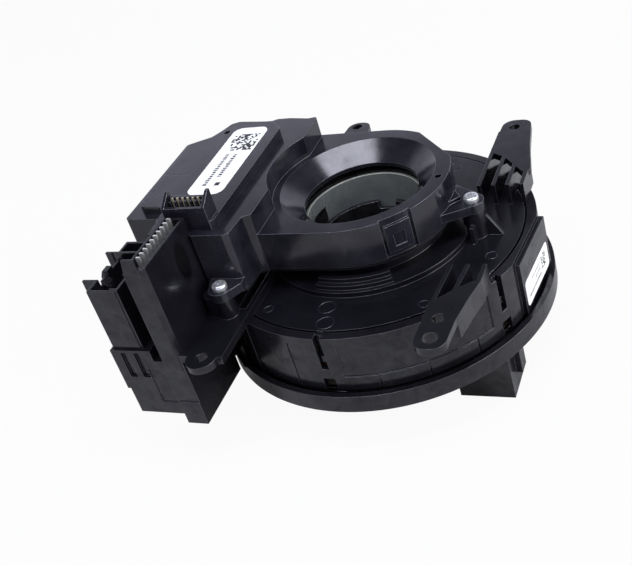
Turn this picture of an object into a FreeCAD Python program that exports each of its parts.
import FreeCAD, Part
import math
import os
from FreeCAD import Vector

os.makedirs("parts", exist_ok=True)

# Steering clock spring: a flat ribbon cable wound in a drum, between a fixed column side and a wheel side
# Millimetres, Z is the steering axis, z = 0 is the top face of the drum cover, +Z points to the column side

# Fits and clearances
run_gap = 0.4          # between the fixed drum and anything that turns inside or beside it
slip = 0.05            # between two pieces pushed together by hand
pivot_gap = 0.08       # radial, measuring gear on its post
part_gap = 0.3         # seam left between two mouldings
cover_gap = 0.8        # open joint between the cover and the rim of the drum

# Drum
drum_r = 59.5
drum_wall = 2.2
drum_h = 22.3
drum_rim_w = 3.4       # width of the flat rim round the cover
rim_drop = 0.2         # the rim lies this far below the cover
rim_t = 2.2
cover_t = 2.4
cover_ledge_w = 3.0
cover_ledge_t = 1.6

# Drum side details
clip_angles = (-91.0, -27.3, 33.0, 93.0, 153.0)
clip_slot_w = 2.6
clip_slot_h = 13.4
clip_foot_w = 4.4
clip_foot_h = 4.8
panel_depth = 0.5
panel_from = -85.3
panel_to = -33.0
panel_top = 3.3
panel_h = 13.6
groove_angles = (-122.4, -102.7, -74.0, -57.5, -40.0, 62.0, 78.0, 118.0, 136.0)
groove_w = 0.7
groove_depth = 0.5
facet_angle = -5.5
facet_half = 14.2      # half the angle that the flat takes
pad_out = 1.6          # the label pad stands this far off the flat
pad_top = -1.8
pad_y0 = -12.6
pad_y1 = 16.4
label_y0 = -11.2
label_y1 = 14.2
label_z0 = -20.6
label_z1 = -10.6

# Opening for the steering column
bore_r = 18.8          # inside the castellated hub
hub_wall = 1.7
sleeve_gap = 0.5       # from the hub ring to the inside of the grey sleeve
sleeve_r = bore_r + hub_wall + sleeve_gap
sleeve_wall = 0.9
sleeve_top = 12.9
tube_wall = 1.3
tube_r0 = sleeve_r + sleeve_wall + slip
tube_r1 = tube_r0 + tube_wall
hub_top = 2.0
hub_bottom = -33.0
hub_slot_h = 3.3
hub_slots = 4
hub_slot_w = 7.0
hub_slot_angle = 89.0
notch_from = 158.6      # notch in the lower edge of the sleeve, angles and top
notch_to = 187.0
notch_top = 7.6

# Turning disc under the drum
disc_over = 3.3        # the disc stands out this far past the drum wall
disc_rim_w = 2.1
disc_rim_top = -22.7
disc_bottom = -29.5
disc_t = 4.0
disc_lip_w = 1.4       # inner lip that laps the drum wall

# Collar on the cover with a stepped tab at the front
collar_r = 38.0
collar_top = 2.0
tab_steps = ((36.4, 3.6), (34.4, 5.2))  # radius and height of each step of the tab
tab_r0 = 32.4
tab_from = -104.0
tab_to = -60.0
seat_r = 28.0          # ring that carries the sensor base
eject_depth = 0.1
eject_w = 0.4
eject_marks = (
    (-2.6, -43.2, 3.3),
    (-0.4, -51.4, 3.3),
    (-24.4, -44.4, 1.9),
    (31.2, -41.0, 2.0),
    (48.0, -14.8, 2.2),
    (20.0, 44.0, 3.2),
)

# Mounting arms
arm_top = 8.2
arm_t = 2.6
arm_rib_t = 1.4
arm_hole_r = 2.1
arm_outer_hole_r = 2.5
arm_corner_r = 4.4
arm_root_gap = 5.0     # from the sensor housing to the ribs of the left arm

# Bracket plate and its screw eye
plate_t = 3.0
plate_right = -29.0
plate_front = -73.0
plate_back = -24.0
eye_x = -36.4
eye_y = -73.4
eye_r = 5.7
eye_t = 2.6
eye_hole_r = 2.2
channel_x = -34.2
channel_w = 3.3
channel_front = -47.8
channel_depth = 2.4

# Blade pocket that stands on the bracket plate
pocket_x0 = -52.4
pocket_x1 = -44.5
pocket_y1 = -43.5
pocket_top = 38.5
pocket_wall = 0.8
pocket_front_wall = 1.6
pocket_lip = 0.5       # the front face stands this far out of the plate
nose_h = 3.6           # and runs this far down the tower
pocket_corner = 1.8    # bevel between the front and the right face
pocket_swell = 1.1     # the rear half of the left wall is this much thicker
swell_front = -53.2
horn_x1 = -46.2        # raised left part of the front wall
horn_root = 35.3
horn_top = 42.7
horn_lean = 1.5
pocket_floor = 14.0
blade_count = 10
blade_pitch = 2.43
blade_w = 1.5
blade_t = 0.7
blade_x = -49.7
blade_y1 = -44.8
blade_stand = 0.6      # blades stand this far above the pocket rim
blade_root = 3.0

# Tower under the bracket plate
tower_x0 = -72.8
tower_in_x = 14.3      # the tower reaches in this far from the left end and the front of the drum
tower_in_y = 25.5
tower_x1 = tower_in_x - drum_r
tower_back = tower_in_y - drum_r
tower_bottom = -24.2
tower_foot_w = 8.2
tower_foot_x0 = tower_x1 - tower_foot_w
tower_foot_bottom = -28.2
tower_step = 1.2       # the left side steps in below this height
tower_step_z = -13.0
tower_foot_h = 6.0
tower_toe = 0.4        # the foot stands this far out of the front
tower_wall = 1.8
tower_slots_x = (-69.0, -63.6)
tower_slot_w = 3.0
tower_panel_x = (-60.5, -54.0)
rim_gap = 0.8          # round the rim of the turning disc
tower_shelf = 4.5      # top of the tower where the plug shell stands

# Plug shell on the tower, one wall divides it into a front and a rear socket
plug_x0 = -71.6
plug_x1 = -59.6
plug_y0 = -72.0
plug_y1 = -43.4
plug_top = 29.2
plug_wall = 0.9
divide_y = -50.2
wing_x0 = -76.9        # two wings guard the latch of the plug
wing_y0 = -66.2
wing_y1 = -49.2
wing_bottom = 8.0
latch_top = 27.4       # top of the left wall between the wings
plug_floor = 12.0
plug_pin = 1.0
plug_pin_pitch = 3.6
rear_pin_pitch = 2.8
plug_pin_h = 11.0
spigot_h = 4.0
spigot_in = 1.5

# Measuring gears
drive_teeth = 60
gear_rim_w = 2.575     # rim of the drive gear under its teeth
gear_root = 1.25       # depth of the teeth below the pitch circle, in modules
gear_module = (tube_r1 + slip + gear_rim_w) / (drive_teeth / 2 - gear_root)
gear_teeth = (26, 24)
gear_angles = (157.0, -157.0)
gear_face = 2.6
gear_lift = 0.8        # the gears run this far above the base plate
gear_backlash = 0.22
gear_room = 5.0        # from the pitch circle of the drive gear to the wall of the ring
post_r = 2.4
post_h = 3.6
magnet_r = 3.2
magnet_t = 1.4
cup_floor = 1.6        # from the post to the seat of the magnet
drive_pitch_r = gear_module * drive_teeth / 2

# Sensor housing
shell_wall = 1.6
ring_r = drive_pitch_r + gear_room + shell_wall
ring_top = 24.0
flat_depth = 2.3       # flat on the ring, its depth and direction
ring_flat_angle = 42.0
box_top = 32.1
box_x0 = -76.5
box_x1 = -25.4
box_y = 33.6
shell_bottom = 9.4
gear_z = shell_bottom + gear_lift
snap_depth = 1.1
ring_land = 5.3        # flat top of the ring round the funnel
cone_r = ring_r - ring_land
throat_z = 17.6
throat_r = sleeve_r
throat_lip = 1.4
recess_w = 2.7         # step in the box wall beside the funnel
recess_r = cone_r + recess_w
ext_x0 = -61.2
ext_x1 = -29.2
ext_y = -43.2
ext_step_x = -44.2     # right of the blade pocket the front stands further out
ext_front = -45.2
base_t = 1.5
base_in = 0.8          # the base stays this far inside the outline of the housing

# Sensor lid with its comb socket
lid_h = 3.2
lid_wall = 1.4
comb_x0 = -53.2
comb_x1 = -36.4
comb_y0 = -42.0
comb_y1 = -35.2
comb_h = 9.1           # highest point of the socket above the lid
comb_front_drop = 3.4  # the front and the back wall end this far below it
comb_back_drop = 2.4
comb_peak = box_top + lid_h + comb_h
comb_top = comb_peak - comb_front_drop
comb_back = comb_peak - comb_back_drop
comb_wall = 1.1
comb_pins = 6
comb_pitch = 2.04
comb_pin = 0.64
comb_rib = 0.7

# Ears, bosses and screws
ear_top = 14.0
ear_t = 3.2
ear_r = 4.3
ear_reach = 6.8        # the side screw stands this far outside the ring
screw_at = ((-36.0, -50.4), (ring_r + ear_reach, -1.7))
boss_r = 3.5
boss_lobe = (-40.6, -49.2)      # second centre of the long front boss
side_boss_r = 4.2
side_boss_bottom = 5.5
screw_head_r = 2.65
screw_head_h = 2.0
screw_r = 1.45
screw_len = 11.0
web_t = 1.4
cross_w = 0.8
cross_len = 2.8
cross_depth = 0.9

# Circuit board
chip_size = 5.0
chip_t = 1.2
chip_gap = 0.7         # air between a magnet and the chip over it
magnet_z = shell_bottom + part_gap + post_h + cup_floor
board_z = magnet_z + magnet_t + chip_gap + chip_t
board_right = -31.0
board_t = 1.6
board_post_r = 2.2
board_posts = ((-70.0, -28.0), (-36.0, -34.0), (-70.0, 10.0), (-52.0, 27.0))

# Ribbon cable in the drum
ribbon_turns = 9
inner_block_w = 5.25   # radial width of the inner and the outer end block
outer_block_w = 4.7
ribbon_t = 0.5
ribbon_end_angle = -134.5
ribbon_clamp = 14.0    # angle that each end block takes
passage_w = 6.0        # opening in the drum wall for the ribbon end
passage_z0 = -18.0
passage_z1 = -8.0
ribbon_top = -4.8
ribbon_bottom = -23.6
film_t = 0.4

# Labels
label_t = 0.15

# Wheel side plugs
wheel_x0 = 33.0
wheel_x1 = 52.6
wheel_y0 = -34.0
wheel_y1 = -18.0
wheel_bottom = -47.0
airbag_bottom = -41.0


def box(x0, x1, y0, y1, z0, z1):
    return Part.makeBox(x1 - x0, y1 - y0, z1 - z0, Vector(x0, y0, z0))


def rod(r, z0, z1, x=0.0, y=0.0):
    return Part.makeCylinder(r, z1 - z0, Vector(x, y, z0))


def tube(r0, r1, z0, z1, x=0.0, y=0.0):
    return rod(r1, z0, z1, x, y).cut(rod(r0, z0 - 1, z1 + 1, x, y))


def prism(points, z0, z1):
    corners = [Vector(x, y, z0) for x, y in points]
    face = Part.Face(Part.makePolygon(corners + [corners[0]]))
    return face.extrude(Vector(0, 0, z1 - z0))


def across(points, y0, y1):
    """Prism along Y from (x, z) points."""
    corners = [Vector(x, y0, z) for x, z in points]
    face = Part.Face(Part.makePolygon(corners + [corners[0]]))
    return face.extrude(Vector(0, y1 - y0, 0))


def spun(points):
    """Solid of revolution round Z from (radius, z) points."""
    corners = [Vector(r, 0, z) for r, z in points]
    face = Part.Face(Part.makePolygon(corners + [corners[0]]))
    return face.revolve(Vector(0, 0, 0), Vector(0, 0, 1), 360)


def sector(r0, r1, a0, a1, z0, z1):
    """Part of a ring between two angles in degrees."""
    ring = Part.makeCylinder(r1, z1 - z0, Vector(0, 0, z0), Vector(0, 0, 1), a1 - a0)
    ring = ring.cut(rod(r0, z0 - 1, z1 + 1))
    ring.rotate(Vector(0, 0, 0), Vector(0, 0, 1), a0)
    return ring


def spoke(r0, r1, width, z0, z1, angle):
    """Bar that points outwards at an angle."""
    bar = box(r0, r1, -width / 2, width / 2, z0, z1)
    bar.rotate(Vector(0, 0, 0), Vector(0, 0, 1), angle)
    return bar


def joined(pieces):
    first, rest = pieces[0], pieces[1:]
    return first.fuse(rest).removeSplitter() if rest else first


def rounded(points, radius, z0, z1):
    """Prism whose corners are rounded by tangent arcs."""
    edges = []
    count = len(points)
    ends = []
    for i in range(count):
        a = Vector(*points[i - 1], z0)
        b = Vector(*points[i], z0)
        c = Vector(*points[(i + 1) % count], z0)
        u = (a - b).normalize()
        v = (c - b).normalize()
        half = u.getAngle(v) / 2
        reach = min(radius / math.tan(half), 0.45 * (a - b).Length, 0.45 * (c - b).Length)
        r = reach * math.tan(half)
        p = b + u * reach
        q = b + v * reach
        w = (u + v).normalize()
        middle = b + w * (r / math.sin(half) - r)
        ends.append((p, middle, q))
    for i in range(count):
        p, middle, q = ends[i]
        edges.append(Part.Arc(p, middle, q).toShape())
        edges.append(Part.LineSegment(q, ends[(i + 1) % count][0]).toShape())
    face = Part.Face(Part.Wire(edges))
    return face.extrude(Vector(0, 0, z1 - z0))


# Sizes that follow from others
well_r = tube_r1 + run_gap + 0.5
cover_r = drum_r - drum_rim_w - cover_gap
drum_in = drum_r - drum_wall
drum_bottom = -drum_h
disc_r = drum_r + disc_over
disc_floor = disc_bottom + disc_t
base_z0 = shell_bottom - base_t
facet_d = drum_r * math.cos(math.radians(facet_half))
pad_d = facet_d + pad_out
ribbon_r0 = tube_r1 + inner_block_w + 2 * slip
ribbon_r1 = drum_in - outer_block_w - 2 * slip
ribbon_pitch = (ribbon_r1 - ribbon_t - ribbon_r0) / ribbon_turns
passage_angle = ribbon_end_angle - ribbon_clamp / 2
gear_pitch_r = [gear_module * n / 2 for n in gear_teeth]
gear_at = [
    ((drive_pitch_r + r) * math.cos(math.radians(a)), (drive_pitch_r + r) * math.sin(math.radians(a)))
    for r, a in zip(gear_pitch_r, gear_angles)
]


def drum_housing():
    """Drum wall with its rim, ledge, clip slots, panels and label flat."""
    wall = tube(drum_in, drum_r, drum_bottom, -rim_drop)
    rim = tube(drum_r - drum_rim_w, drum_in + 0.1, -rim_drop - rim_t, -rim_drop)
    ledge = tube(drum_in - cover_ledge_w, drum_in + 0.1, -cover_t - cover_ledge_t, -cover_t)
    body = joined([wall, rim, ledge])
    cuts = [sector(drum_r - panel_depth, drum_r + 2, panel_from, panel_to, -panel_top - panel_h, -panel_top)]
    for angle in groove_angles:
        cuts.append(spoke(drum_r - groove_depth, drum_r + 2, groove_w, drum_bottom - 1, -panel_top, angle))
    for angle in clip_angles:
        foot_top = drum_bottom + clip_foot_h
        cuts.append(spoke(cover_r - 4, drum_r + 2, clip_slot_w, -clip_slot_h, 1, angle))
        cuts.append(spoke(drum_in - 1, drum_r + 2, clip_foot_w, drum_bottom - 1, foot_top, angle))
    half = drum_r * math.sin(math.radians(facet_half))
    facet = box(facet_d, drum_r + 2, -half - 1, half + 1, drum_bottom - 1, 1)
    backing = box(facet_d - drum_wall, facet_d, -half, half, drum_bottom, -cover_t)
    pad = box(facet_d - 1, pad_d, pad_y0, pad_y1, drum_bottom, pad_top)
    for piece in (facet, backing, pad):
        piece.rotate(Vector(0, 0, 0), Vector(0, 0, 1), facet_angle)
    body = body.fuse(backing)
    cuts.append(facet)
    cuts.append(passage(0, drum_in - 1, drum_r + 5))
    for cut in cuts:
        body = body.cut(cut)
    body = body.fuse(pad)
    return body.removeSplitter()


def passage(shrink, r0, r1):
    """Bar through the drum wall where the ribbon end reaches the tower."""
    return spoke(r0, r1, passage_w - 2 * shrink, passage_z0 + shrink, passage_z1 - shrink, passage_angle)


def plug_tower():
    """Hollow tower that hangs under the bracket plate against the drum wall."""
    upper = box(tower_x0, tower_x1, plate_front, tower_back, tower_bottom, 0)
    shelf = box(tower_x0, plug_x1 + 3, plate_front, plug_y1 + 3, -1, tower_shelf)
    foot = box(tower_foot_x0, tower_x1, plate_front - tower_toe, tower_back, tower_foot_bottom,
               tower_bottom + tower_foot_h)
    block = joined([upper, shelf, foot])
    t = tower_wall
    x1 = tower_x1 - t
    y0 = plate_front + t
    y1 = tower_back - t
    hollow = joined([
        box(tower_x0 + tower_step + t, x1, y0, y1, tower_bottom + t, -t),
        box(tower_foot_x0 + t, x1, y0, y1, tower_foot_bottom + t, tower_bottom + t + 1),
    ])
    block = block.cut(hollow).cut(spigot(0, -t - 1, tower_shelf + 1))
    for x in tower_slots_x:
        block = block.cut(box(x, x + tower_slot_w, plate_front - 1, plate_front + 1.0, -7.5, 3.6))
    x0, x1 = tower_panel_x
    block = block.cut(box(x0, x1, plate_front - 1, plate_front + 0.4, -19.0, -3.4))
    block = block.cut(box(tower_x0 - 1, tower_x0 + tower_step, plate_front - 1, tower_back + 1,
                          tower_bottom - 1, tower_step_z))
    block = block.cut(rod(drum_r + slip, tower_foot_bottom - 5, 10))
    return block.cut(rod(disc_r + rim_gap, tower_foot_bottom - 5, disc_rim_top + rim_gap))


def spigot(shrink, z0, z1):
    """Block under the plug shell that sits in the top of the tower."""
    edge = spigot_in + shrink
    return box(plug_x0 + edge, plug_x1 - edge, plug_y0 + edge, plug_y1 - edge, z0, z1)


def right_front_arm():
    """Arm with two screw holes, drawn from the front edge of the cover."""
    plan = [(36.9, -17.1), (47.3, -17.1), (47.8, -3.5), (49.6, 8.7), (50.8, 17.3),
            (45.0, 12.9), (39.4, 7.1), (37.2, 5.3)]
    ribs = [
        [(37.0, -2.2), (38.4, -2.2), (40.0, 24.7), (38.6, 24.7)],
        [(43.0, 9.3), (44.4, 9.3), (45.7, 24.7), (44.3, 24.7)],
        [(46.3, -2.2), (47.8, -2.2), (49.7, 8.7), (51.3, 16.3), (51.3, 24.7), (49.9, 24.7),
         (49.9, 16.3), (48.2, 8.7)],
    ]
    finger = rounded(plan, arm_corner_r, arm_top - arm_t, arm_top)
    body = joined([finger] + [prism(rib, 0, arm_top) for rib in ribs])
    body = body.cut(rod(arm_outer_hole_r, 0, arm_top + 1, 42.1, -11.9))
    body = body.cut(rod(arm_hole_r, 0, arm_top + 1, 42.3, -2.7))
    body.translate(Vector(0, -cover_r, 0))
    return body


def right_back_arm():
    """Arm with one screw hole and four ribs, drawn from the back edge of the cover."""
    plan = [(37.6, 8.1), (48.0, 8.1), (51.2, -12.0), (54.6, -28.3), (52.3, -30.9),
            (48.4, -25.9), (43.4, -19.7), (38.4, -16.3), (36.8, -14.3)]
    rib_ends = ((36.9, -0.3), (42.2, -15.3), (47.3, -19.3), (52.4, -25.3))
    finger = rounded(plan, arm_corner_r, arm_top - arm_t, arm_top)
    ribs = [box(x, x + arm_rib_t, -38.7, far, 0, arm_top) for x, far in rib_ends]
    body = joined([finger] + ribs).cut(rod(arm_hole_r, 0, arm_top + 1, 42.5, 2.5))
    body.translate(Vector(0, cover_r, 0))
    return body


def left_back_arm():
    """Arm behind the sensor housing, drawn from the back edge of the cover."""
    plan = [(-30.2, 15.7), (-21.4, 15.7), (-18.6, -1.3), (-17.6, -9.3), (-32.4, -9.3), (-31.6, -1.3)]
    rib_ends = ((-32.0, 0.7), (-25.4, -5.3), (-19.6, 0.7))
    root = box_y + arm_root_gap - cover_r
    finger = rounded(plan, arm_corner_r, arm_top - arm_t, arm_top)
    ribs = [box(x, x + arm_rib_t, root, far, 0, arm_top) for x, far in rib_ends]
    body = joined([finger] + ribs).cut(rod(arm_hole_r, 0, arm_top + 1, -26.5, 12.1))
    body.translate(Vector(0, cover_r, 0))
    return body


def bracket_plate():
    """Raised plate that carries the blade pocket and the screw eye."""
    plate = prism([(pocket_x0, plate_front), (plate_right, plate_front), (plate_right, plate_back),
                   (-47.0, plate_back), (pocket_x0, -34.0)], 0, plate_t)
    eye = rod(eye_r, plate_t - eye_t, plate_t, eye_x, eye_y)
    body = joined([plate, eye])
    body = body.cut(rod(eye_hole_r, -1, plate_t + 1, eye_x, eye_y))
    return body.cut(box(channel_x, channel_x + channel_w, channel_front, plate_back - 2,
                        plate_t - channel_depth, plate_t + 1))


def blade_slots(grow, z0, z1):
    """One box per blade terminal, grown by a clearance."""
    slots = []
    for i in range(blade_count):
        y = blade_y1 - i * blade_pitch
        slots.append(box(blade_x - blade_w / 2 - grow, blade_x + blade_w / 2 + grow,
                         y - blade_t / 2 - grow, y + blade_t / 2 + grow, z0, z1))
    return slots


def blade_pocket():
    """Tall open pocket for the blade plug, with a raised horn on its front wall."""
    y0 = plate_front - pocket_lip
    corner = (pocket_x1, y0 + pocket_corner)
    front = [(pocket_x0, y0), (pocket_x1 - pocket_corner, y0), corner]
    outer = prism(front + [(pocket_x1, pocket_y1), (pocket_x0, pocket_y1)], plate_t, pocket_top)
    nose = prism(front[:2] + [(corner[0] - pocket_corner + pocket_lip, plate_front), (pocket_x0, plate_front)],
                 -nose_h, plate_t + 1)
    swell = box(pocket_x0 - pocket_swell, pocket_x0 + 1, swell_front, pocket_y1, plate_t, pocket_top)
    t = pocket_wall
    inner = box(pocket_x0 + t, pocket_x1 - t, plate_front + pocket_front_wall, pocket_y1 - t,
                pocket_floor, pocket_top + 1)
    horn = across([(pocket_x0, horn_root), (pocket_x0 + horn_lean, horn_top), (horn_x1, horn_top),
                   (horn_x1, horn_root)], y0, y0 + t)
    rim_z = pocket_top + 1
    lean = across([(pocket_x0 - 1, horn_root), (pocket_x0, horn_root), (pocket_x0 + horn_lean / 2, rim_z),
                   (pocket_x0 - 1, rim_z)], y0 - 1, y0 + t)
    body = joined([outer, nose, swell]).cut(inner).cut(lean).fuse(horn)
    for slot in blade_slots(slip, pocket_floor - blade_root, pocket_floor + 1):
        body = body.cut(slot)
    return body.removeSplitter()


def drum_cover():
    """Cover plate of the drum with collar, three arms, bosses and bracket plate in one moulding."""
    pieces = [rod(cover_r, -cover_t, 0), rod(collar_r, -cover_t, collar_top), rod(seat_r, 0, base_z0)]
    for r, z in tab_steps:
        pieces.append(sector(tab_r0, r, tab_from, tab_to, 0, z))
    pieces += [right_front_arm(), right_back_arm(), left_back_arm()]
    pieces += [bracket_plate(), front_boss(), side_boss()]
    body = joined(pieces)
    body = body.cut(rod(well_r, -cover_t - 1, base_z0 + 1))
    for x, y in screw_at:
        body = body.cut(rod(screw_r + slip, ear_top - screw_len - 1, ear_top, x, y))
    for angle in clip_angles:
        hook = joined([
            spoke(cover_r - 3, drum_r - 2.4, clip_slot_w - 0.6, -cover_t, -0.3, angle),
            spoke(drum_r - 3.6, drum_r - 2.4, clip_slot_w - 0.6, -11.0, -0.3, angle),
            spoke(drum_r - 3.6, drum_r - 1.2, clip_slot_w - 0.6, -11.0, -8.6, angle),
        ])
        body = body.fuse(hook)
    for x, y, r in eject_marks:
        body = body.cut(tube(r - eject_w, r, -eject_depth, collar_top - eject_depth, x, y))
    return body.removeSplitter()


def front_boss():
    """Long boss under the front ear of the sensor housing."""
    x, y = screw_at[0]
    far_x, far_y = boss_lobe
    top = ear_top - ear_t
    sides = [(far_x, far_y - boss_r), (x, y - boss_r), (x, y + boss_r), (far_x, far_y + boss_r)]
    bridge = prism(sides, 0, top)
    return joined([rod(boss_r, 0, top, x, y), rod(boss_r, 0, top, far_x, far_y), bridge])


def side_boss():
    """Boss on a thin stem with a straight web and a sloping one."""
    x, y = screw_at[1]
    top = ear_top - ear_t
    half = web_t / 2
    stem = rod(boss_r, 0, top, x, y)
    head = rod(side_boss_r, side_boss_bottom, top, x, y)
    web = box(x - half, x + half, y - 6.4, y, 0, side_boss_bottom + 1)
    slope_z = side_boss_bottom + 2.5
    slope = across([(x, 0), (x + 9.0, 0), (x + side_boss_r, slope_z), (x, slope_z)], y - half, y + half)
    return joined([stem, head, web, slope])


def plug_shell():
    """Two open sockets for the plugs of the column loom, with the latch side open between two wings."""
    t = plug_wall
    groove = plug_x1 - 2.3
    land = plug_x1 - 1.1
    outline = [(plug_x0, plug_y0), (groove, plug_y0), (groove, plug_y0 + t), (land, plug_y0 + t),
               (land, plug_y0 + 0.4), (plug_x1, plug_y0 + 0.4), (plug_x1, plug_y1), (plug_x0, plug_y1)]
    body = joined([
        prism(outline, tower_shelf, plug_top),
        spigot(slip, tower_shelf - spigot_h, tower_shelf + 1),
        box(wing_x0, plug_x0 + t, wing_y0, wing_y0 + t, wing_bottom, plug_top),
        box(wing_x0, plug_x0 + t, wing_y1 - t, wing_y1, wing_bottom, plug_top),
        box(plug_x1 - 3.2, plug_x1 - 1.0, plug_y0, plug_y0 + 2 * t, tower_shelf, plug_top),
    ])
    x0 = plug_x0 + t
    x1 = plug_x1 - t
    front_room = box(x0, x1, plug_y0 + t, divide_y, plug_floor, plug_top + 1)
    front_room = front_room.cut(box(x1 - 2.4, x1 + 1, plug_y0, plug_y0 + 2 * t, plug_floor - 1, plug_top + 2))
    rear_room = box(x0, x1, divide_y + t, plug_y1 - t, plug_floor, plug_top + 1)
    latch = box(wing_x0, x0, wing_y0 + t, wing_y1 - t, latch_top, plug_top + 1)
    body = body.cut(front_room).cut(rear_room).cut(latch)
    body = body.cut(box(plug_x0 - 1, x0, wing_y0 + t, wing_y0 + 2.4, latch_top - 1.2, plug_top + 1))
    nose = [(plug_x0 - 2.0, 24.0), (plug_x0 - 2.6, 26.0), (plug_x0 - 1.2, 28.6), (x0, 28.6), (x0, 22.0)]
    nose = across(nose, -59.8, -56.6)
    key = across([(x0 - 0.2, plug_floor), (x0 + 1.3, plug_floor), (x0 + 1.3, 25.4), (x0 - 0.2, 27.3)],
                 -64.2, -60.4)
    body = joined([body, nose, key, box(x1 - 1.8, x1 + 0.1, -62.8, -61.8, plug_floor - 1, plug_top)])
    guide = box(-74.4, -72.8, wing_y1 - t - 1, wing_y1 - t + 0.4, wing_bottom - 1, plug_top + 1)
    body = body.cut(guide)
    for slot in plug_pin_boxes(slip, plug_floor - 3, plug_floor + 1):
        body = body.cut(slot)
    return body.removeSplitter()


def plug_pin_boxes(grow, z0, z1):
    """Square pins: four pairs in the front socket and three in the rear one."""
    half = plug_pin / 2 + grow
    pins = []
    middle = (plug_x0 + plug_x1) / 2
    for i in range(4):
        for side in (-1, 1):
            x = middle + side * plug_pin_pitch / 2
            y = plug_y0 + 4.4 + i * plug_pin_pitch
            pins.append(box(x - half, x + half, y - half, y + half, z0, z1))
    for side in (-1, 0, 1):
        x = middle + side * rear_pin_pitch
        y = (divide_y + plug_wall + plug_y1 - plug_wall) / 2
        pins.append(box(x - half, x + half, y - half, y + half, z0, z1))
    return pins


def d_outline(r, x_left, z0, z1):
    """D shape: a half disc towards +X and a straight-sided part to x_left."""
    return rod(r, z0, z1).fuse(box(x_left, 0, -r, r, z0, z1))


box_plan = [(box_x0, -box_y), (ext_x0 - 1.0, -box_y - 0.6), (ext_x0, ext_y), (ext_step_x, ext_y),
            (ext_step_x, ext_front), (ext_x1 - 2.2, ext_front), (ext_x1, ext_front + 0.8),
            (ext_x1 + 0.8, -box_y - 1.0), (box_x1, -box_y), (box_x1, box_y), (-29.0, 32.6), (-37.5, 34.1),
            (-42.7, 34.1), (-44.9, 32.9), (-56.9, 33.2), (-60.0, 34.4), (-63.0, 33.0), (-65.2, 27.8),
            (-67.7, 23.4), (-72.0, 20.9), (box_x0, 18.2)]

lid_plan = [(-71.4, -30.4), (-61.6, -31.2), (-58.6, -35.0), (-58.6, -42.0), (-36.6, -42.0), (-35.4, -40.4),
            (-35.4, 20.5), (-40.4, 26.3), (-56.1, 28.2), (-59.0, 26.8), (-61.1, 21.7), (-63.6, 17.4),
            (-67.8, 14.9), (-71.4, 12.3)]


def inset(points, step, z0, z1):
    """Prism of a plan drawn inwards by a step."""
    corners = [Vector(x, y, z0) for x, y in points]
    wire = Part.makePolygon(corners + [corners[0]]).makeOffset2D(-step, 2)
    return Part.Face(wire).extrude(Vector(0, 0, z1 - z0))


def beyond_flat(step):
    """Block outside the flat of the ring, for a wall that lies a step further in."""
    d = ring_r - flat_depth - step
    block = box(d, d + ring_r, -ring_r, ring_r, 0, box_top)
    block.rotate(Vector(0, 0, 0), Vector(0, 0, 1), ring_flat_angle)
    return block


def ear(index, z0, z1):
    """Ear with a round end about a screw, drawn back to the housing."""
    x, y = screw_at[index]
    if index == 0:
        plan = [(-42.7, ext_y), (-29.3, ext_y), (-29.1, -47.6), (x + 2.9, y - 3.1), (x - 3.8, y - 2.0)]
    else:
        plan = [(ring_r - 2.4, -11.2), (x + 3.0, y - 3.0), (x + 1.4, y + 4.2), (ring_r - 1.2, 8.4),
                (ring_r - 3.6, 0)]
    return prism(plan, z0, z1).fuse(rod(ear_r, z0, z1, x, y))


def sensor_housing():
    """Shell with the funnel round the column, the electronics box and two screw ears."""
    t = shell_wall
    ring = d_outline(ring_r, box_x1 - 1, shell_bottom, ring_top).cut(beyond_flat(0))
    case = rounded(box_plan, 1.2, shell_bottom, box_top).cut(rod(recess_r, ring_top, box_top + 1))
    nub = [(ring_r - 1.0, -5.3), (ring_r + 3.0, -1.2), (ring_r + 0.2, 2.8), (ring_r - 2.1, 1.0)]
    nub = prism(nub, ear_top - 1, ear_top + 1.4)
    outer = joined([ring, case, ear(0, ear_top - ear_t, ear_top), ear(1, ear_top - ear_t, ear_top), nub])
    ring_space = d_outline(ring_r - t, box_x1 - 3, shell_bottom - 1, ring_top - t).cut(beyond_flat(t))
    case_space = inset(box_plan, t, shell_bottom - 1, box_top - t)
    case_space = case_space.cut(rod(recess_r + t, ring_top - t, box_top + 1))
    lip_z = throat_z - throat_lip
    wall = [(0, lip_z), (throat_r + t, lip_z), (throat_r + t, throat_z - part_gap), (cone_r + t, ring_top - t),
            (cone_r + t, ring_top + 1), (0, ring_top + 1)]
    way = [(0, shell_bottom - 2), (throat_r, shell_bottom - 2), (throat_r, throat_z), (cone_r, ring_top),
           (cone_r, ring_top + 1), (0, ring_top + 1)]
    body = outer.cut(joined([ring_space, case_space]).cut(spun(wall)))
    body = body.cut(spun(way))
    recess, frame = snap_panel()
    body = body.cut(recess).fuse(frame)
    body = body.cut(box_ways(box_top - t - 1, box_top + 1))
    for x, y in screw_at:
        body = body.cut(rod(screw_r + 0.25, ear_top - ear_t - 1, ear_top + 3, x, y))
    body = body.cut(rod(1.3, ring_top - 3, ring_top + 1, ring_r - 3.2, -1.4))
    body = body.cut(rod(1.5, box_top - 3, box_top + 1, -62.4, 25.9))
    return body.removeSplitter()


def box_ways(z0, z1):
    """Openings under the lid: one over the board and one for the comb pins."""
    return box(-66.0, -41.0, -28.0, 10.0, z0, z1).fuse(box(comb_x0 + 1.4, comb_x1 - 3.4, -39.4, -35.6, z0, z1))


def snap_panel():
    """Recess and raised frame of the snap window on the outside of the ring."""
    recess = sector(ring_r - snap_depth, ring_r + 1, -59.0, -39.0, shell_bottom - 1, ring_top + 1)
    frame = sector(ring_r - snap_depth - 0.3, ring_r, -57.0, -41.0, shell_bottom + 1.8, ring_top - 2.6)
    window = sector(ring_r - 0.5, ring_r + 1, -52.5, -45.5, shell_bottom + 3.6, ring_top - 6.0)
    return recess, frame.cut(window)


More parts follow.
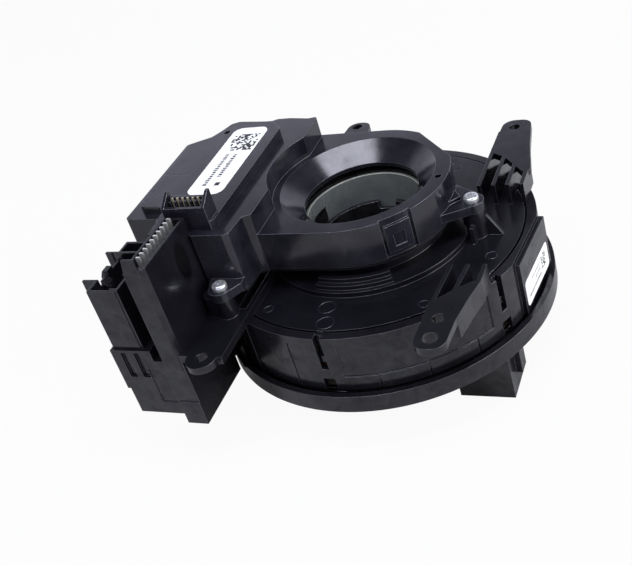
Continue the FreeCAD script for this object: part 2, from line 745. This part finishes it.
def sensor_lid():
    """Raised lid of the box with the comb socket on its front end."""
    z0 = box_top
    z1 = box_top + lid_h
    x0 = comb_x0 + comb_wall
    x1 = comb_x1 - comb_wall
    y0 = comb_y0 + comb_wall
    y1 = comb_y1 - comb_wall
    over = comb_peak + 1
    plate = rounded(lid_plan, 2.4, z0, z1)
    block = box(comb_x0, comb_x1, comb_y0, comb_y1, z0, comb_peak)
    body = joined([plate, block]).cut(box_ways(z0 - 1, z1 - lid_wall))
    body = body.cut(box(x0, x1, y0, y1, z1, over))
    body = body.cut(box(x0, x1, comb_y0 - 1, y0, comb_top, over))
    body = body.cut(box(x0, x1, y1, comb_y1 + 1, comb_back, over))
    body = body.cut(comb_slope())
    ribs = []
    for i in range(comb_pins + 1):
        x = comb_pin_x(0) + (i - 0.5) * comb_pitch
        ribs.append(box(x - comb_rib / 2, x + comb_rib / 2, y1 - 1.9, y1, z1, comb_back - 0.6))
    body = body.fuse(ribs)
    for slot in comb_pin_boxes(slip, z0 - 1, z1 + 1):
        body = body.cut(slot)
    line_z = z1 - 0.2
    body = body.cut(box(-70.4, -69.9, -27.4, -9.6, line_z, z1 + 1))
    body = body.cut(box(-70.4, -60.0, -10.1, -9.6, line_z, z1 + 1))
    body = body.cut(rod(1.3, z1 - 1.2, z1 + 1, -58.2, 20.2))
    return body.removeSplitter()


def comb_slope():
    """Block over the side walls of the comb socket, which rise towards the back."""
    x = comb_x0 - 1
    y0 = comb_y0 - 1
    y1 = comb_y1 - 1.4
    corners = [Vector(x, y0, comb_top - 0.5), Vector(x, y0, comb_peak + 2), Vector(x, y1, comb_peak + 2),
               Vector(x, y1, comb_peak)]
    face = Part.Face(Part.makePolygon(corners + [corners[0]]))
    return face.extrude(Vector(comb_x1 - comb_x0 + 2, 0, 0))


def comb_pin_x(i):
    return comb_x0 + 2.6 + i * comb_pitch


def comb_pin_boxes(grow, z0, z1):
    half = comb_pin / 2 + grow
    y = comb_y1 - comb_wall - 1.0
    columns = [comb_pin_x(i) for i in range(comb_pins)]
    return [box(x - half, x + half, y - half, y + half, z0, z1) for x in columns]


def sensor_base():
    """Closing plate under the sensor housing, with gear posts and board posts."""
    z1 = shell_bottom
    ring = d_outline(ring_r - base_in, box_x1 - 3, base_z0, z1).cut(beyond_flat(base_in))
    case = inset(box_plan, base_in, base_z0, z1)
    body = joined([ring, case]).cut(rod(well_r, base_z0 - 1, z1 + 1))
    for x, y in gear_at:
        body = body.fuse(rod(post_r, base_z0, z1 + post_h, x, y))
    for x, y in board_posts:
        body = body.fuse(rod(board_post_r, base_z0, board_z, x, y))
    return body.removeSplitter()


def gear(teeth, bore, z0, z1):
    """Spur gear with involute flanks, thinned by half the backlash each."""
    r = gear_module * teeth / 2
    base = r * math.cos(math.radians(20))
    root = r - gear_root * gear_module
    tip = r + 0.95 * gear_module
    half = math.pi / (2 * teeth) - gear_backlash / 4 / r

    def flank(radius):
        a = math.acos(min(1.0, base / radius))
        b = math.acos(base / r)
        return half + (math.tan(b) - b) - (math.tan(a) - a)

    radii = [max(base, root) + (tip - max(base, root)) * k / 4 for k in range(5)]
    points = []
    for i in range(teeth):
        c = 2 * math.pi * i / teeth
        points.append((root, c - flank(radii[0])))
        points += [(q, c - flank(q)) for q in radii]
        points += [(q, c + flank(q)) for q in reversed(radii)]
        points.append((root, c + flank(radii[0])))
    plan = [(q * math.cos(a), q * math.sin(a)) for q, a in points]
    return prism(plan, z0, z1).cut(rod(bore, z0 - 1, z1 + 1))


def measuring_gear(index):
    """Small gear with a cup for its magnet, turned so that its teeth mesh with the drive gear."""
    teeth = gear_teeth[index]
    z0 = shell_bottom + part_gap
    hub_z = magnet_z - 0.6
    body = gear(teeth, post_r + pivot_gap, gear_z, gear_z + gear_face)
    hub = tube(post_r + pivot_gap, 4.4, z0, hub_z + 0.6).fuse(rod(4.4, hub_z, hub_z + magnet_t + 0.6))
    body = body.fuse(hub).cut(rod(magnet_r + slip, magnet_z, magnet_z + magnet_t + 1))
    a = gear_angles[index]
    drive_phase = (a / 360 * drive_teeth) % 1
    turn = a + 180 + (0.5 + drive_phase) * 360 / teeth
    body.rotate(Vector(0, 0, 0), Vector(0, 0, 1), turn)
    x, y = gear_at[index]
    body.translate(Vector(x, y, 0))
    return body.removeSplitter()


def gear_magnet(index):
    x, y = gear_at[index]
    return rod(magnet_r, magnet_z, magnet_z + magnet_t, x, y)


def sensor_board():
    """Circuit board over the measuring gears."""
    plan = [(-72.0, -30.0), (-57.0, -30.0), (-57.0, -39.0), (-34.0, -39.0), (board_right, -28.0),
            (board_right, 24.0), (-52.0, 30.0), (-60.0, 24.0), (-72.0, 12.0)]
    return prism(plan, board_z, board_z + board_t)


def sensor_chips():
    chips = []
    for x, y in gear_at:
        chips.append(box(x - chip_size / 2, x + chip_size / 2, y - chip_size / 2, y + chip_size / 2,
                         board_z - chip_t, board_z))
    chips.append(box(-62.0, -52.0, -14.0, -4.0, board_z + board_t, board_z + board_t + 1.6))
    chips.append(box(-60.0, -54.0, 6.0, 14.0, board_z + board_t, board_z + board_t + 2.2))
    return Part.makeCompound(chips)


def screw(x, y):
    """Pan head screw with a cross recess."""
    top = ear_top + screw_head_h
    head = rod(screw_head_r, ear_top, top, x, y)
    rim = [e for e in head.Edges if e.BoundBox.ZMin > top - 0.01]
    head = head.makeFillet(0.9, rim)
    body = head.fuse(rod(screw_r, ear_top - screw_len, ear_top, x, y))
    for w, h in ((cross_w, cross_len), (cross_len, cross_w)):
        body = body.cut(box(x - w / 2, x + w / 2, y - h / 2, y + h / 2, top - cross_depth, top + 1))
    return body.removeSplitter()


def box_label():
    z = box_top + lid_h
    return rounded([(-54.9, -24.6), (-40.3, -24.6), (-40.3, 22.4), (-54.9, 22.4)], 3.6, z, z + label_t)


def drum_label():
    body = box(pad_d, pad_d + label_t, label_y0, label_y1, label_z0, label_z1)
    body = body.makeFillet(1.6, [e for e in body.Edges if abs(e.BoundBox.XLength - label_t) < 0.01])
    body.rotate(Vector(0, 0, 0), Vector(0, 0, 1), facet_angle)
    return body


def spiral_strip():
    """Ribbon wound as a flat spiral, closed by short end faces."""
    steps = 48
    inner = []
    outer = []
    for i in range(ribbon_turns * steps + 1):
        a = 2 * math.pi * i / steps
        r = ribbon_r0 + ribbon_pitch * i / steps
        inner.append(Vector(r * math.cos(a), r * math.sin(a), ribbon_bottom))
        outer.append(Vector((r + ribbon_t) * math.cos(a), (r + ribbon_t) * math.sin(a), ribbon_bottom))
    curve_in = Part.BSplineCurve()
    curve_in.interpolate(inner)
    curve_out = Part.BSplineCurve()
    curve_out.interpolate(outer)
    wire = Part.Wire([curve_in.toShape(), Part.LineSegment(inner[-1], outer[-1]).toShape(),
                      curve_out.toShape(), Part.LineSegment(outer[0], inner[0]).toShape()])
    strip = Part.Face(wire).extrude(Vector(0, 0, ribbon_top - ribbon_bottom))
    strip.rotate(Vector(0, 0, 0), Vector(0, 0, 1), ribbon_end_angle)
    return strip


def outer_ribbon_block():
    """Moulded block that holds the outer end of the ribbon against the drum wall."""
    start = ribbon_end_angle - ribbon_clamp
    block = sector(ribbon_r1 + slip, drum_in - slip, start, ribbon_end_angle, ribbon_bottom + 2, ribbon_top)
    return joined([block, passage(slip, drum_in - 1, drum_r - slip)])


def inner_ribbon_block():
    """Block on the rotor tube that holds the inner end of the ribbon."""
    return sector(tube_r1 + slip, ribbon_r0 - slip, ribbon_end_angle, ribbon_end_angle + 2 * ribbon_clamp,
                  disc_floor, ribbon_top)


def slide_ring():
    """Smooth film ring that the ribbon slides on."""
    return tube(ribbon_r0, drum_in - run_gap - disc_lip_w - part_gap, disc_floor, disc_floor + film_t)


def rotor_disc():
    """Turning disc under the drum with its rim and inner lip."""
    disc = rod(disc_r, disc_bottom, disc_floor)
    rim = tube(disc_r - disc_rim_w, disc_r, disc_bottom, disc_rim_top)
    lip = tube(drum_in - run_gap - disc_lip_w, drum_in - run_gap, disc_bottom, disc_floor + 1.6)
    body = joined([disc, rim, lip])
    body = body.cut(rod(bore_r + hub_wall + slip, disc_bottom - 1, disc_floor + 1))
    hollow = tube(bore_r + hub_wall + 4, disc_r - 6, disc_bottom - 1, disc_bottom + 1.6).cut(wheel_pads())
    return body.cut(hollow).removeSplitter()


def wheel_pads():
    """Solid areas of the disc that carry the wheel side plugs and lugs."""
    pads = [box(wheel_x0 - 2, wheel_x1 + 2, wheel_y0 - 2, wheel_y1 + 2, disc_bottom - 2, disc_bottom + 2),
            box(-52.0, -24.0, 14.0, 36.0, disc_bottom - 2, disc_bottom + 2)]
    pads += [spoke(bore_r, disc_r, 3.0, disc_bottom - 2, disc_bottom + 2, a) for a in range(0, 360, 45)]
    return joined(pads)


def rotor_tube():
    """Black tube that carries the sleeve and the drive gear."""
    return tube(tube_r0, tube_r1, disc_floor, gear_z + gear_face)


def bore_sleeve():
    """Grey sleeve inside the tube with one pointed notch in its lower edge."""
    sleeve = tube(sleeve_r, sleeve_r + sleeve_wall, hub_top - 8, sleeve_top)
    notch = sector(sleeve_r - 1, sleeve_r + sleeve_wall + 1, notch_from, notch_to, hub_top - 9, notch_top)
    return sleeve.cut(notch)


def rotor_hub():
    """Castellated hub ring that the steering wheel boss drives."""
    ring = tube(bore_r, bore_r + hub_wall, hub_bottom, hub_top)
    foot = tube(bore_r, bore_r + hub_wall + 3, hub_bottom, disc_bottom)
    body = joined([ring, foot])
    for i in range(hub_slots):
        angle = hub_slot_angle + i * 360 / hub_slots
        slot = spoke(bore_r - 1, bore_r + hub_wall + 1, hub_slot_w, hub_top - hub_slot_h, hub_top + 1, angle)
        body = body.cut(slot)
    return body.removeSplitter()


def drive_gear():
    """Toothed ring on top of the rotor tube that drives both measuring gears."""
    return gear(drive_teeth, tube_r1 + slip, gear_z, gear_z + gear_face)


def wheel_plug_shell():
    """Socket on the wheel side for the switch loom."""
    t = 1.5
    body = box(wheel_x0, wheel_x1, wheel_y0, wheel_y1, wheel_bottom, disc_bottom)
    rail = box(wheel_x1, wheel_x1 + 2.2, wheel_y0 + 6.6, wheel_y0 + 12.0, wheel_bottom + 6, disc_bottom)
    body = body.fuse(rail)
    room = box(wheel_x0 + t, wheel_x1 - t, wheel_y0 + t, wheel_y1 - t, wheel_bottom - 1, wheel_bottom + 13)
    body = body.cut(room)
    for pin in wheel_pin_boxes(slip, wheel_bottom + 12, wheel_bottom + 16):
        body = body.cut(pin)
    return body.removeSplitter()


def wheel_pin_boxes(grow, z0, z1):
    half = plug_pin / 2 + grow
    pins = []
    for i in range(5):
        for j in range(2):
            x = wheel_x0 + 3.4 + i * 3.2
            y = wheel_y0 + 5.4 + j * 5.0
            pins.append(box(x - half, x + half, y - half, y + half, z0, z1))
    return pins


def airbag_plug_shell():
    """Round socket pair on the wheel side for the airbag leads."""
    plan = [(-50.0, 16.0), (-26.0, 16.0), (-26.0, 34.0), (-50.0, 34.0)]
    body = rounded(plan, 4.0, airbag_bottom, disc_bottom)
    for x in (-44.0, -32.0):
        body = body.cut(rod(4.4, airbag_bottom - 1, disc_bottom - 2.5, x, 25.0))
    for pin in airbag_pin_boxes(slip, disc_bottom - 3, disc_bottom - 1):
        body = body.cut(pin)
    return body.removeSplitter()


def airbag_pin_boxes(grow, z0, z1):
    half = plug_pin / 2 + grow
    pins = []
    for x in (-44.0, -32.0):
        for y in (23.4, 26.6):
            pins.append(box(x - half, x + half, y - half, y + half, z0, z1))
    return pins


def save(name, shape):
    shape.exportStep("parts/" + name + ".step")
    solids = len(shape.Solids)
    print(f"{name:22s} solids {solids}  volume {shape.Volume:9.1f}  valid {shape.isValid()}")


save("drum_housing", drum_housing())
save("plug_tower", plug_tower())
save("drum_cover", drum_cover())
save("column_plug_shell", plug_shell())
save("column_plug_pins", Part.makeCompound(plug_pin_boxes(0, plug_floor - 3, plug_floor + plug_pin_h)))
save("blade_pocket", blade_pocket())
save("blade_terminals", Part.makeCompound(blade_slots(0, pocket_floor - blade_root, pocket_top + blade_stand)))
save("sensor_housing", sensor_housing())
save("sensor_lid", sensor_lid())
save("comb_pins", Part.makeCompound(comb_pin_boxes(0, board_z + board_t, comb_back + 0.4)))
save("sensor_base", sensor_base())
save("sensor_board", sensor_board())
save("sensor_chips", sensor_chips())
save("housing_screws", Part.makeCompound([screw(x, y) for x, y in screw_at]))
save("box_label", box_label())
save("drum_label", drum_label())
save("ribbon_cable", spiral_strip())
save("outer_ribbon_block", outer_ribbon_block())
save("measuring_gear_a", measuring_gear(0))
save("measuring_gear_b", measuring_gear(1))
save("gear_magnet_a", gear_magnet(0))
save("gear_magnet_b", gear_magnet(1))
save("rotor_disc", rotor_disc())
save("rotor_tube", rotor_tube())
save("bore_sleeve", bore_sleeve())
save("rotor_hub", rotor_hub())
save("drive_gear", drive_gear())
save("slide_ring", slide_ring())
save("inner_ribbon_block", inner_ribbon_block())
save("wheel_plug_shell", wheel_plug_shell())
save("wheel_plug_pins", Part.makeCompound(wheel_pin_boxes(0, wheel_bottom + 5, wheel_bottom + 16)))
save("airbag_plug_shell", airbag_plug_shell())
save("airbag_plug_pins", Part.makeCompound(airbag_pin_boxes(0, airbag_bottom + 4.5, disc_bottom - 1)))
